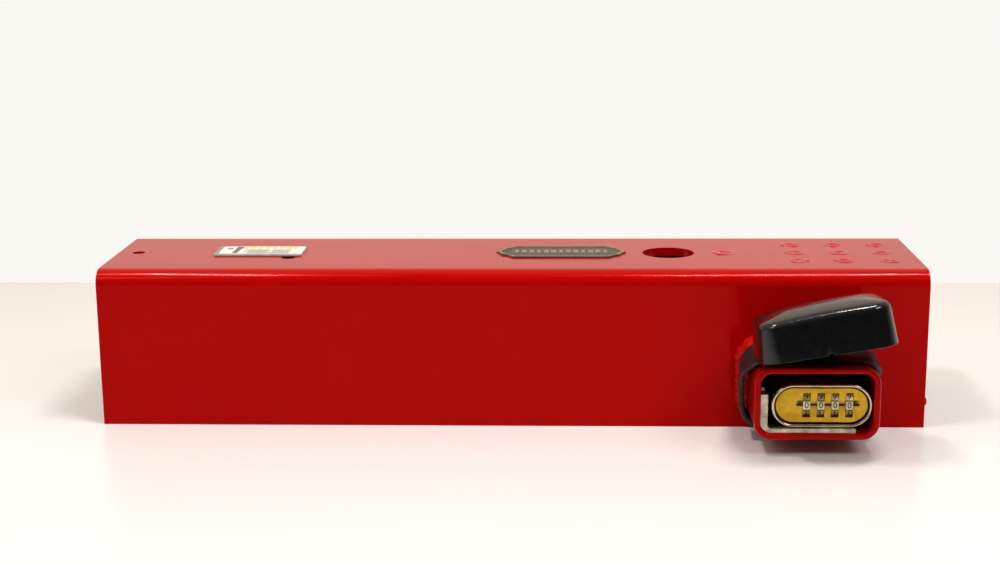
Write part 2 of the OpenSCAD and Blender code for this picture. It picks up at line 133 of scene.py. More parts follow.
def remap(
    tree: NodeTree, value: object, low: float, high: float, to_low: float = 0, to_high: float = 1
) -> NodeSocket:
    """Stretches a value from low..high to to_low..to_high and keeps it inside."""
    ends = {"From_Min": low, "From_Max": high, "To_Min": to_low, "To_Max": to_high}
    return add_node(tree, "ShaderNodeMapRange", Value=value, **ends).outputs["Result"]


def calculate(tree: NodeTree, operation: str, *values: object) -> NodeSocket:
    """Result of one math node on up to three values."""
    inputs = {f"in{k}": value for k, value in enumerate(values)}
    return add_node(tree, "ShaderNodeMath", {"operation": operation}, **inputs).outputs[0]


def mix(tree: NodeTree, share: NodeSocket, first: object, second: object) -> NodeSocket:
    """Mixes two colours.

    Args:
        tree: The node tree.
        share: Share of the way to the second colour.
        first: A colour, or an output socket.
        second: A colour, or an output socket.

    Returns:
        The mixed colour.
    """
    colour = {"data_type": "RGBA"}
    node = add_node(tree, "ShaderNodeMix", colour, Factor=share, A=first, B=second)
    return node.outputs["Result"]


def relief(tree: NodeTree, height: NodeSocket, strength: float, distance: float) -> NodeSocket:
    """Normal of a surface raised by height, at most by distance in metres."""
    values = {"Strength": strength, "Distance": distance}
    return add_node(tree, "ShaderNodeBump", Height=height, **values).outputs["Normal"]


def new_material(name: str) -> tuple[Material, NodeTree, Node, NodeSocket]:
    """Makes a node material with nothing set.

    Args:
        name: The material's name.

    Returns:
        The material, its node tree, its Principled shader and the Object coordinates.
    """
    material = bpy.data.materials.new(name)
    material.use_nodes = True
    tree = material.node_tree
    place = add_node(tree, "ShaderNodeTexCoord").outputs["Object"]
    return material, tree, tree.nodes["Principled BSDF"], place


# ---- finishes --------------------------------------------------------------


@dataclass(frozen=True)
class GlossEnamel:
    """Sprayed gloss enamel on steel plate: a deep film with orange peel and a few specks."""

    name: str = "gloss_enamel_on_steel"
    tone: str = "b00402"
    deep: str = "9c0201"
    peel_mm: float = 2.6
    peel_height: float = 0.05
    roughness: float = 0.13
    haze: float = 0.09

    def build(self) -> Material:
        """Builds the enamel.

        Returns:
            Its node material.
        """
        material, tree, shader, place = new_material(self.name)
        # Broad drift of the film's depth over some 120 mm.
        drift = speckle(tree, place, 8.0, 3.0)
        # Orange peel: soft cells a few millimetres across.
        peel = speckle(tree, place, 1000 / self.peel_mm, 2.0, 0.4)
        # Dust nibs that settled in the wet paint, about one in 15 mm.
        nibs = add_node(tree, "ShaderNodeTexVoronoi", {"feature": "F1"}, Vector=place, Scale=70.0)
        nib = remap(tree, nibs.outputs["Distance"], 0.012, 0.03, 1.0, 0.0)
        height = calculate(tree, "MULTIPLY_ADD", nib, 0.6, peel)
        # Slight haze where hands have rubbed the film.
        rubbed = speckle(tree, place, 26.0, 5.0, 0.6)
        feed(
            tree,
            shader,
            Base_Color=mix(tree, drift, linear(self.tone), linear(self.deep)),
            Normal=relief(tree, height, self.peel_height, 0.0006),
            Roughness=remap(tree, rubbed, 0.35, 0.75, self.roughness, self.roughness + self.haze),
            Specular_Tint=(1.0, 0.01, 0.01, 1.0),
            IOR=1.55,
            Coat_Weight=0.08,
            Coat_Roughness=0.03,
        )
        return material


@dataclass(frozen=True)
class GrainedMetal:
    """Bare or plated metal with a fine grain: blasted, zinc plated, turned or polished."""

    name: str
    light: str
    dark: str
    roughness: float
    spread: float = 0.12
    grain_mm: float = 0.5
    height: float = 0.25
    stretch: Point3 = (1.0, 1.0, 1.0)

    def build(self) -> Material:
        """Builds the metal.

        Returns:
            Its node material.
        """
        material, tree, shader, place = new_material(self.name)
        turned = add_node(tree, "ShaderNodeMapping", Vector=place, Scale=self.stretch)
        grain = speckle(tree, turned.outputs["Vector"], 1000 / self.grain_mm, 3.0, 0.6)
        cloud = speckle(tree, place, 160.0, 3.0)
        share = remap(tree, calculate(tree, "MULTIPLY_ADD", grain, 0.5, cloud), 0.5, 1.0)
        feed(
            tree,
            shader,
            Base_Color=mix(tree, share, linear(self.dark), linear(self.light)),
            Roughness=remap(tree, grain, 0.3, 0.7, self.roughness, self.roughness + self.spread),
            Normal=relief(tree, grain, self.height, self.grain_mm * MM * 0.3),
            Metallic=1.0,
        )
        return material


@dataclass(frozen=True)
class MouldedRubber:
    """Dipped soft vinyl rubber: near black, glossy, with a faint waviness left by the mould."""

    name: str = "moulded_rubber_gloss"
    tone: str = "0b0b0d"
    roughness: float = 0.1
    wave_mm: float = 7.0

    def build(self) -> Material:
        """Builds the rubber.

        Returns:
            Its node material.
        """
        material, tree, shader, place = new_material(self.name)
        wave = speckle(tree, place, 1000 / self.wave_mm, 1.0)
        dust = speckle(tree, place, 420.0, 4.0, 0.7)
        feed(
            tree,
            shader,
            Base_Color=linear(self.tone),
            Normal=relief(tree, wave, 0.12, 0.001),
            Roughness=remap(tree, dust, 0.4, 0.75, self.roughness, self.roughness + 0.16),
        )
        return material


@dataclass(frozen=True)
class PrintedInk:
    """Flat ink or paint on a label or in an engraved digit, slightly uneven in tone."""

    name: str
    tone: str
    worn: str
    roughness: float = 0.45
    wear_scale: float = 900.0
    wear_detail: float = 3.0

    def build(self) -> Material:
        """Builds the ink.

        Returns:
            Its node material.
        """
        material, tree, shader, place = new_material(self.name)
        wear = speckle(tree, place, self.wear_scale, self.wear_detail)
        tint = mix(tree, wear, linear(self.tone), linear(self.worn))
        feed(tree, shader, Base_Color=tint, Roughness=self.roughness)
        return material


class Finish(Enum):
    """The finishes of this lock, each built once."""

    ENAMEL = GlossEnamel()
    ZINC = GrainedMetal("zinc_plate_grained", "f6ecd8", "9a8d76", 0.32, 0.22, 0.7, 1.0)
    STEEL = GrainedMetal(
        "turned_bright_steel", "a9abae", "86888b", 0.3, 0.12, 0.35, 0.2, (1.0, 0.12, 1.0)
    )
    SPRING = GrainedMetal("tempered_spring_steel", "7f8894", "5b626c", 0.3, 0.1, 0.3, 0.15)
    CHROME = GrainedMetal("nickel_chrome_plate", "e4dccb", "c4b8a2", 0.1, 0.12, 0.9, 0.15)
    BRASS = GrainedMetal("satin_rolled_brass", "e2b83c", "b9891d", 0.34, 0.16, 0.42, 0.35)
    WHEEL = GrainedMetal(
        "satin_nickel_brass", "eadfbe", "c9b98d", 0.4, 0.12, 0.3, 0.2, (0.15, 1.0, 1.0)
    )
    FOIL = GrainedMetal(
        "brushed_label_aluminium", "d6d6d0", "b4b4ad", 0.36, 0.12, 0.3, 0.2, (0.06, 1.0, 1.0)
    )
    BADGE = GrainedMetal("dark_anodised_aluminium", "80766c", "655c54", 0.4, 0.12, 0.3, 0.25)
    BRIGHT = GrainedMetal("bright_etched_aluminium", "c9b3a2", "ab9585", 0.36, 0.12, 0.3, 0.2)
    RUBBER = MouldedRubber()
    MATT_RUBBER = MouldedRubber("moulded_rubber_matt", "08080a", 0.48, 4.0)
    DIGIT = PrintedInk("black_digit_paint", "060606", "100f0e", 0.4)
    # Black paint for the ring in the gap round the brass plate: painted shade.
    SEAL = PrintedInk("black_gap_shade_paint", "050505", "0c0b0b", 0.6)
    INK_BLACK = PrintedInk("grey_label_ink", "4a4a46", "6a6862")
    INK_WHITE = PrintedInk("white_label_ink", "e6e4de", "d8d5cd", 0.42)
    INK_YELLOW = PrintedInk("yellow_label_ink", "e3d27c", "cdbb6a")
    INK_RED = PrintedInk("red_label_ink", "a85a52", "b4746a")
    # Warm white laminate of the table top, mottled over about a third of a metre.
    TABLE = PrintedInk("white_laminate", "e8e5e4", "e3e0de", 0.24, 3.0, 2.0)

    @property
    def material(self) -> Material:
        """The finish's material, made on first use."""
        return bpy.data.materials.get(self.value.name) or self.value.build()


# ---- mesh helpers ----------------------------------------------------------


def unit(value: float) -> float:
    """The value kept between zero and one."""
    return min(1.0, max(0.0, value))


@dataclass(frozen=True)
class Station:
    """One loop of a lofted ring: how far it is drawn in from the outline, and its level."""

    inset: float
    level: float


def quarter(steps: int) -> list[float]:
    """Angles of a quarter turn, from zero up."""
    return [math.pi / 2 * k / steps for k in range(steps + 1)]


def rounding(inset: float, level: float, radius: float, turn: int, steps: int = 4) -> list[Station]:
    """Quarter-round stations for an edge.

    Args:
        inset: The inset at the outside of the corner.
        level: The level of the corner itself.
        radius: Edge radius, in mm; a negative one rounds downwards.
        turn: 1 from wall to end face, -1 from end face to wall.
        steps: Number of facets of the quarter.

    Returns:
        The stations in order.
    """
    reach = abs(radius)
    return [
        Station(inset + reach * (1 - math.cos(a)), level - radius * (1 - math.sin(a)))
        for a in quarter(steps)[::turn]
    ]


def inner_rounding(inset: float, level: float, radius: float, steps: int = 4) -> list[Station]:
    """Quarter-round stations from an end face into an inner wall.

    Args:
        inset: Inset of the inner wall.
        level: Level of the end face.
        radius: Edge radius, in mm.
        steps: Number of facets.

    Returns:
        The stations in order.
    """
    return [
        Station(inset - radius * (1 - math.sin(a)), level - radius * (1 - math.cos(a)))
        for a in quarter(steps)
    ]


def outline_points(w: float, h: float, r: float, corner: int, side: int) -> list[Point2]:
    """Points round a rounded rectangle, the same number for any size.

    Args:
        w: Width.
        h: Height.
        r: Corner radius.
        corner: Facets of each corner.
        side: Facets of each side.

    Returns:
        The points, anticlockwise from the middle of the right side's foot.
    """

    def on_corner(k: int, share: float) -> Point2:
        """Gives a point on a corner.

        Args:
            k: Which corner, from the lower right.
            share: Share of the turn round it.

        Returns:
            The point.
        """
        sx, sy = ((1, -1), (1, 1), (-1, 1), (-1, -1))[k % 4]
        turn = math.radians(90 * (k % 4) - 90 + 90 * share)
        return (sx * (w / 2 - r) + r * math.cos(turn), sy * (h / 2 - r) + r * math.sin(turn))

    points = []
    for k in range(4):
        points += [on_corner(k, i / corner) for i in range(corner + 1)]
        (x0, y0), (x1, y1) = points[-1], on_corner(k + 1, 0)
        points += [(x0 + (x1 - x0) * j / side, y0 + (y1 - y0) * j / side) for j in range(1, side)]
    return points


def only_verts(geometry: Iterable[object]) -> list[BMVert]:
    """The vertices among what an operator made."""
    return [part for part in geometry if isinstance(part, BMVert)]


def edges_of(verts: Iterable[BMVert]) -> list[BMEdge]:
    """The edges at some vertices, each once and in a fixed order."""
    return list(dict.fromkeys(e for v in verts for e in v.link_edges))


def loft(
    bm: BMesh,
    width: float,
    height: float,
    radius: float,
    stations: list[Station],
    closed: bool,
    corner: int = 10,
    side: int = 6,
) -> None:
    """Draws a rounded rectangular loop through its stations into a shell.

    Args:
        bm: The mesh to add to.
        width: Outline width along local X, in mm.
        height: Outline height along local Y, in mm.
        radius: Outline corner radius, in mm.
        stations: The loops in order.
        closed: True to join the last loop to the first, False to cap both ends.
        corner: Facets of each corner.
        side: Facets of each side.
    """
    row = bmesh.ops.create_circle(bm, segments=4 * (corner + side), radius=1.0)["verts"]
    edges = edges_of(row)
    start = edges
    rows: list[list[BMVert]] = []
    for station in stations + (stations[:1] if closed else []):
        if rows:
            made = bmesh.ops.extrude_edge_only(bm, edges=edges)["geom"]
            order = {v.co.to_tuple(5): k for k, v in enumerate(row)}
            row = sorted(only_verts(made), key=lambda v, order=order: order[v.co.to_tuple(5)])
            fresh = set(row)
            edges = [e for e in made if isinstance(e, BMEdge) and fresh.issuperset(e.verts)]
        w, h = width - 2 * station.inset, height - 2 * station.inset
        r = max(min(radius - station.inset, min(w, h) / 2 - 0.01), min(w, h) * 0.12)
        for vert, (x, y) in zip(row, outline_points(w, h, r, corner, side)):
            vert.co = Vector((x, y, station.level))
        rows.append(row)
    if closed:
        bmesh.ops.remove_doubles(bm, verts=rows[0] + rows[-1], dist=1e-4)
    else:
        for loop in (start, edges):
            bmesh.ops.contextual_create(bm, geom=loop)
    bmesh.ops.recalc_face_normals(bm, faces=bm.faces)


def thicken(bm: BMesh, faces: list[BMFace], by: Point3) -> None:
    """Draws faces out into a solid.

    Args:
        bm: The mesh that holds the faces.
        faces: The faces.
        by: How far they are drawn.
    """
    made = bmesh.ops.extrude_face_region(bm, geom=faces)["geom"]
    bmesh.ops.translate(bm, vec=by, verts=only_verts(made))
    bmesh.ops.recalc_face_normals(bm, faces=bm.faces)


def soften(bm: BMesh, width: float, segments: int = 2, sharper_than: float = 35.0) -> None:
    """Rounds every sharp edge of a mesh.

    Args:
        bm: The mesh, in mm.
        width: Width of the rounding.
        segments: Facets of the rounding.
        sharper_than: Edges with a smaller angle between their faces stay.
    """
    limit = math.radians(sharper_than)
    sharp = [e for e in bm.edges if len(e.link_faces) == 2 and e.calc_face_angle(0) > limit]
    round_edges(bm, sharp, width, segments, clamp=True)


def round_edges(
    bm: BMesh, edges: list[BMEdge], width: float, segments: int = 2, clamp: bool = False
) -> None:
    """Rounds some edges of a mesh, in mm; clamp keeps the rounding short of its neighbours."""
    shape = {"profile": 0.5, "affect": "EDGES", "clamp_overlap": clamp, "material": -1}
    bmesh.ops.bevel(bm, geom=edges, offset=width, segments=segments, **shape)


def cad_copy(node: str) -> BMesh:
    """Copies a CAD node's mesh, merged and with its flat faces whole.

    Args:
        node: The CAD node.

    Returns:
        The copy, in mm.
    """
    bm = bmesh.new()
    bm.from_mesh(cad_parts[node].data)
    bmesh.ops.scale(bm, vec=(1000, 1000, 1000), verts=bm.verts)
    bmesh.ops.remove_doubles(bm, verts=bm.verts, dist=0.002)
    bmesh.ops.dissolve_limit(bm, angle_limit=math.radians(0.6), verts=bm.verts, edges=bm.edges)
    return bm


def weigh_normals(mesh: Mesh) -> None:
    """Leans every smooth corner towards the larger faces round it, so that flats stay flat.

    Args:
        mesh: The mesh, with its sharp edges marked.
    """
    bm = bmesh.new()
    bm.from_mesh(mesh)
    weight = {face: face.normal * face.calc_area() for face in bm.faces}
    normals = []
    for face in bm.faces:
        for loop in face.loops:
            fan, queue = [face], [face]
            while queue:
                here = queue.pop()
                for edge in (e for e in here.edges if e.smooth and loop.vert in e.verts):
                    ahead = [f for f in edge.link_faces if f not in fan]
                    fan += ahead
                    queue += ahead
            normals.append(sum((weight[f] for f in fan), Vector()).normalized())
    bm.free()
    mesh.normals_split_custom_set(normals)


def shade(mesh: Mesh, smooth_deg: float) -> None:
    """Smooths a mesh.

    Args:
        mesh: The mesh.
        smooth_deg: Edges sharper than this stay crisp.
    """
    mesh.shade_smooth()
    mesh.set_sharp_from_angle(angle=math.radians(smooth_deg))
    weigh_normals(mesh)


def towards_user(x: float, y: float, z: float) -> Matrix:
    """Placement that turns local Z to -Y, with local Y up.

    Args:
        x: Place along the channel, in mm.
        y: Distance from the front flange, in mm, negative towards the user.
        z: Height, in mm.

    Returns:
        The matrix, from millimetres to metres.
    """
    turn = Matrix(((1, 0, 0), (0, 0, -1), (0, 1, 0))).to_4x4()
    return TO_METRES @ Matrix.Translation((x, y + FACE_Y, z)) @ turn


# ---- objects ---------------------------------------------------------------


def put(name: str, data: ID) -> Object:
    """Puts new data into the scene as an object at the origin.

    Args:
        name: Name of the object.
        data: Its mesh, curve, lamp or camera.

    Returns:
        The object.
    """
    obj = bpy.data.objects.new(name, data)
    bpy.context.scene.collection.objects.link(obj)
    return obj


def as_mesh(bm: BMesh, name: str) -> Mesh:
    """Moves a mesh under edit into a new mesh.

    Args:
        bm: The mesh under edit, which is freed.
        name: Name of the new mesh.

    Returns:
        The new mesh.
    """
    mesh = bpy.data.meshes.new(name)
    bm.to_mesh(mesh)
    bm.free()
    return mesh


def evaluated(obj: Object) -> Mesh:
    """A new mesh of what an object shows."""
    graph = bpy.context.evaluated_depsgraph_get()
    return bpy.data.meshes.new_from_object(obj.evaluated_get(graph))


def join(parts: Iterable[BMesh]) -> BMesh:
    """Joins meshes into one.

    Args:
        parts: The meshes, which are freed.

    Returns:
        The whole.
    """
    whole = bmesh.new()
    for part in parts:
        mesh = as_mesh(part, "part")
        whole.from_mesh(mesh)
        bpy.data.meshes.remove(mesh)
    return whole


def add_piece(
    bm: BMesh,
    name: str,
    body: str | None,
    finish: Finish,
    place: Matrix = TO_METRES,
    node: str = "",
    smooth_deg: float = 40.0,
) -> Object:
    """Turns a mesh into a finished piece of the lock.

    Args:
        bm: The mesh, which is freed.
        name: Name of the piece.
        body: Body that it rides on, or None to leave that to the caller.
        finish: Its finish.
        place: Placement that takes the mesh to metres in the lock's frame.
        node: CAD node that it replaces.
        smooth_deg: Edges sharper than this stay sharp.

    Returns:
        The new object.
    """
    bmesh.ops.transform(bm, matrix=place, verts=bm.verts)
    mesh = as_mesh(bm, name)
    shade(mesh, smooth_deg)
    mesh.materials.append(finish.material)
    obj = put(name, mesh)
    if body:
        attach(obj, body)
    if node:
        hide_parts(node)
    log.info("piece %s: %d faces on %s", name, len(mesh.polygons), body)
    return obj


def carve(obj: Object, cutter: BMesh) -> None:
    """Cuts a mesh, given in metres, out of a piece and frees it.

    Args:
        obj: The piece to cut.
        cutter: The mesh to take away.
    """
    mesh = as_mesh(cutter, "cutter")
    tool = put("cutter", mesh)
    modifier = obj.modifiers.new("cut", "BOOLEAN")
    modifier.operation, modifier.object, modifier.solver = "DIFFERENCE", tool, "EXACT"
    result = evaluated(obj)
    obj.modifiers.remove(modifier)
    old, obj.data = obj.data, result
    bpy.data.meshes.remove(old)
    bpy.data.objects.remove(tool)
    bpy.data.meshes.remove(mesh)


def box(low: Point3, high: Point3) -> BMesh:
    """Makes a box between two corners.

    Args:
        low: Lowest corner, in mm, with its depth from the front flange.
        high: Highest corner.

    Returns:
        The box, in metres.
    """
    bm = bmesh.new()
    bmesh.ops.create_cube(bm, size=1.0)
    middle = (Vector(low) + Vector(high)) / 2 + Vector((0, FACE_Y, 0))
    bmesh.ops.scale(bm, vec=(Vector(high) - Vector(low)) * MM, verts=bm.verts)
    bmesh.ops.translate(bm, vec=middle * MM, verts=bm.verts)
    return bm


def rod(radius: float, length: float, facets: int) -> BMesh:
    """Makes a capped rod along local Z, about its middle.

    Args:
        radius: Its radius, in mm.
        length: Its length.
        facets: Facets round it.

    Returns:
        The rod.
    """
    bm = bmesh.new()
    ends = {"radius1": radius, "radius2": radius, "depth": length}
    bmesh.ops.create_cone(bm, cap_ends=True, segments=facets, **ends)
    return bm


# ---- sub-assemblies --------------------------------------------------------


@dataclass(frozen=True)
class TubeSize:
    """Size and place of the lock tube, in mm."""

    x: float = 157.4
    z: float = 28.0
    width: float = 63.5
    height: float = 38.0
    wall: float = 3.2
    radius: float = 9.0
    reach: float = 50.0


TUBE = TubeSize()


@dataclass
class Weldment:
    """Bent channel, lock tube, their welds and the plug welds of the lining plate."""

    length: float = 444.5
    height: float = 85.7
    plate: float = 4.76
    edge: float = 0.7
    fillet_leg: float = 5.0
    ripples: float = 38.0
    ripple_height: float = 0.42
    plug_end: float = 17.0
    plug_y: float = 48.5
    plug_radius: float = 5.0
    plug_pitch: Point2 = (24.1, 21.4)
    lone_plug: Point3 = (117.95, 49.0, 6.0)

    def build(self) -> None:
        """Makes every painted piece."""
        self.channel()
        self.tube()
        self.tube_bead()
        self.plug_welds()
        self.end_rod()

    def painted(
        self, bm: BMesh, name: str, node: str, place: Matrix = TO_METRES, smooth_deg: float = 40.0
    ) -> None:
        """Adds one enamelled piece of the channel in place of a CAD node."""
        body, finish, slot = "channel_body", Finish.ENAMEL, "red_paint"
        add_piece(bm, name, body, finish, place, node, smooth_deg)

    def channel(self) -> None:
        """Channel with paint-rounded edges."""
        bm = cad_copy("channel")
        soften(bm, self.edge, 3)
        self.painted(bm, "channel_shell", "channel")

    def tube(self) -> None:
        """Lock tube with a rounded rim."""
        bm = bmesh.new()
        stations = [Station(0, 0)]
        stations += rounding(0, TUBE.reach, 1.1, 1)
        stations += inner_rounding(TUBE.wall, TUBE.reach, 0.9)
        stations += [Station(TUBE.wall, 0)]
        loft(bm, TUBE.width, TUBE.height, TUBE.radius, stations, True, corner=12, side=8)
        self.painted(bm, "lock_tube_shell", "lock_tube", towards_user(TUBE.x, 0, TUBE.z))

    def tube_bead(self) -> None:
        """Rippled fillet weld around the foot of the tube."""
        bm = bmesh.new()
        leg = self.fillet_leg
        # Inset and level of the bead's section, from under the tube's wall and back to it.
        arc = [(0.25, 0.0), (-leg, 0.05), (-4.5, 1.2), (-3.8, 2.4)]
        arc += [(-2.9, 3.4), (-1.9, 4.2), (-0.9, 4.75), (0.1, leg)]
        stations = [Station(inset, level) for inset, level in arc]
        loft(bm, TUBE.width, TUBE.height, TUBE.radius, stations, True, corner=24, side=60)
        half_w, half_h = TUBE.width / 2, TUBE.height / 2
        for vert in bm.verts:
            co = vert.co
            out = max(abs(co.x) - half_w, abs(co.y) - half_h, 0)
            if out < 0.3:
                continue
            around = math.atan2(co.y / half_h, co.x / half_w)
            wander = 2.2 * noise.noise(co * 0.12)
            ripple = math.sin(around * self.ripples + wander) * self.ripple_height
            lump = noise.noise(co * 0.13) * 1.1 + noise.noise(co * 0.4) * 0.45
            push = (ripple + lump) * min(1.0, out / 2.0)
            outward = Vector((co.x / half_w, co.y / half_h, 0)).normalized()
            co += (outward * 0.7 + Vector((0, 0, 0.7))) * push
            co.z = max(co.z, 0.0)
        place = towards_user(TUBE.x, 0, TUBE.z)
        self.painted(bm, "tube_weld_bead", "lock_tube_weld", place, 80)

    def plug_welds(self) -> None:
        """Plug welds with a puddled middle: nine over the lining plate, and one alone."""
        right, (along, across) = self.length / 2 - self.plug_end, self.plug_pitch
        nine = [
            (right - i * along, self.plug_y + j * across, self.plug_radius)
            for i in range(3)
            for j in (-1, 0, 1)
        ]
        rows = [
            ("plug_weld_puddles", "plug_welds", nine),
            ("lone_weld_puddle", "lone_plug_weld", [self.lone_plug]),
        ]
        for name, node, spots in rows:
            bm = bmesh.new()
            for spot in spots:
                self.add_plug(bm, *spot)
            self.painted(bm, name, node, smooth_deg=70)

    def add_plug(self, bm: BMesh, x: float, y: float, radius: float) -> None:
        """Adds one plug weld as a turned puddle.

        Args:
            bm: The mesh to add to.
            x: Place along the channel, in mm.
            y: Distance from the front flange, in mm.
            radius: Radius of the hole it fills.
        """
        # Share of the radius and height above the web, from the middle to the rim.
        rise = [(0.0, -0.1), (0.25, -0.08), (0.5, 0.12), (0.72, 0.36)]
        rise += [(0.9, 0.3), (1.05, 0.14), (1.16, 0.01), (1.16, -0.05)]
        profile = [(radius * share, z) for share, z in rise]
        profile += [(radius - 0.01, -0.1), (radius - 0.01, -self.plate), (0.0, -self.plate)]
        verts = [bm.verts.new((x + r, y + FACE_Y, self.height + z)) for r, z in profile]
        edges = [bm.edges.new(pair) for pair in zip(verts, verts[1:])]
        turn = {"cent": (x, y + FACE_Y, 0), "axis": (0, 0, 1), "angle": 2 * math.pi}
        bmesh.ops.spin(bm, geom=verts + edges, steps=40, use_merge=True, **turn)
        bmesh.ops.remove_doubles(bm, verts=bm.verts, dist=0.01)
        bmesh.ops.recalc_face_normals(bm, faces=bm.faces)
        for vert in bm.verts:
            co = vert.co
            near = (co.xy - Vector((x, y + FACE_Y))).length
            if near < radius * 1.1 and co.z > self.height - 0.15:
                co.z = max(co.z + noise.noise(co * 0.3) * 0.45, self.height - 0.1)

    def end_rod(self) -> None:
        """Round rod along the foot of the front flange."""
        bm = cad_copy("end_rod")
        soften(bm, 0.5)
        self.painted(bm, "end_rod_bar", "end_rod")


@dataclass
class Plates:
    """The data label and the shaped badge on the web, both with plain bars for lettering."""

    web_z: float = 85.7
    label_at: Point2 = (-141.6, 50.6)
    label_size: Point2 = (50.0, 25.2)
    label_face: float = 0.78
    ink: float = 0.05
    badge_at: Point2 = (27.6, 49.0)
    badge_half: Point2 = (36.2, 14.4)
    badge_face: float = 0.68

    def build(self) -> None:
        """Makes both plates and their print."""
        self.label()
        self.badge()

    def slab(
        self, outline: list[Point2], low: float, high: float, at: Point2, round_by: float = 0
    ) -> BMesh:
        """A flat plate of any outline.

        Args:
            outline: Corner points about the plate's middle, in mm.
            low: Lower level above the web.
            high: Upper level above the web.
            at: Middle, along the channel and from the front flange.
            round_by: Rounding of the top edges.

        Returns:
            The plate in mm.
        """
        bm = bmesh.new()
        x, y = at
        verts = [bm.verts.new((x + px, y + py + FACE_Y, self.web_z + low)) for px, py in outline]
        thicken(bm, [bm.faces.new(verts)], (0, 0, high - low))
        if round_by > 0:
            top = self.web_z + high - 1e-4
            rim = [e for e in bm.edges if all(v.co.z > top for v in e.verts)]
            round_edges(bm, rim, round_by)
        return bm

    def bar(self, x: float, y: float, w: float, h: float) -> list[Point2]:
        """Corners of a plain bar about (x, y)."""
        return [(x + sx * w / 2, y + sy * h / 2) for sx, sy in ((-1, -1), (1, -1), (1, 1), (-1, 1))]

    def label(self) -> None:
        """Aluminium data label with a yellow panel and grey lines."""
        bm = self.slab(outline_points(*self.label_size, 2.5, 6, 2), 0, 0.8, self.label_at, 0.2)
        body, slot = "channel_body", "label_foil"
        add_piece(bm, "data_label_plate", body, Finish.FOIL, TO_METRES, "data_label")
        heading = [self.bar(-9.6 + 4.1 * k, 6.9, 3.3 - 0.5 * (k % 3), 5.2) for k in range(8)]
        wedge = [(-15.4, -6.6), (-12.6, -6.6), (-11.2, 10.6), (-14.6, 10.6)]
        lines = [
            self.bar(x + step * (k % 2), 1.8 - 2.6 * k, long + more * (k % 2), 1.1)
            for x, step, long, more in ((-2.5, 1.2, 14, -3), (12.0, -1.5, 10, 2))
            for k in range(4)
        ]
        # Name, ink, layers of ink below it, and shapes.
        rows = [
            ("label_face", Finish.INK_WHITE, 0, [self.bar(0.7, 1.7, 46.6, 19.6)]),
            ("label_heading", Finish.INK_YELLOW, 1, heading),
            ("label_emblem", Finish.INK_RED, 1, [self.bar(-18.2, 5.4, 3.2, 3.6)]),
            ("label_wedge", Finish.INK_BLACK, 1, [wedge]),
            ("label_lines", Finish.INK_BLACK, 1, lines),
        ]
        for name, finish, layers, shapes in rows:
            low = self.label_face + layers * self.ink
            bm = join(self.slab(shape, low, low + self.ink, self.label_at) for shape in shapes)
            add_piece(bm, name, body, finish)

    def plaque(self, grow: float) -> list[Point2]:
        """Gives the outline of the badge.

        Args:
            grow: How far it is drawn in.

        Returns:
            The corner points, anticlockwise.
        """
        a, b = self.badge_half
        right = [(a - 1.4 * grow, 0), (a - 3.6 - 1.2 * grow, b * 0.55)]
        right += [(a - 5.6 - 1.1 * grow, b * 0.62), (a - 9.6 - 0.8 * grow, b - grow)]
        upper = right + [(-x, y) for x, y in reversed(right[1:])]
        return upper + [(-x, -y) for x, y in upper]

    def badge(self) -> None:
        """Long shaped badge with a bright border and bright bars."""
        bm = self.slab(self.plaque(0), 0, 0.7, self.badge_at, 0.2)
        body, slot = "channel_body", "badge_metal"
        add_piece(bm, "badge_base", body, Finish.BADGE, TO_METRES, "badge_plate")
        bm = bmesh.new()
        (x, y), z = self.badge_at, self.web_z + self.badge_face
        outer, inner = (
            [bm.verts.new((x + px, y + py + FACE_Y, z)) for px, py in self.plaque(grow)]
            for grow in (0.5, 1.9)
        )
        faces = []
        for k in range(len(outer)):
            ahead = (k + 1) % len(outer)
            faces.append(bm.faces.new((outer[k], outer[ahead], inner[ahead], inner[k])))
        thicken(bm, faces, (0, 0, 0.27))
        add_piece(bm, "badge_border", body, Finish.BRIGHT)
        bars = [self.bar(-24.6 + 4.1 * k, 0, 3.0 if k % 3 else 2.1, 7.6) for k in range(13)]
        bm = join(self.slab(bar, self.badge_face, 0.9, self.badge_at, 0.1) for bar in bars)
        add_piece(bm, "badge_bars", body, Finish.BRIGHT)


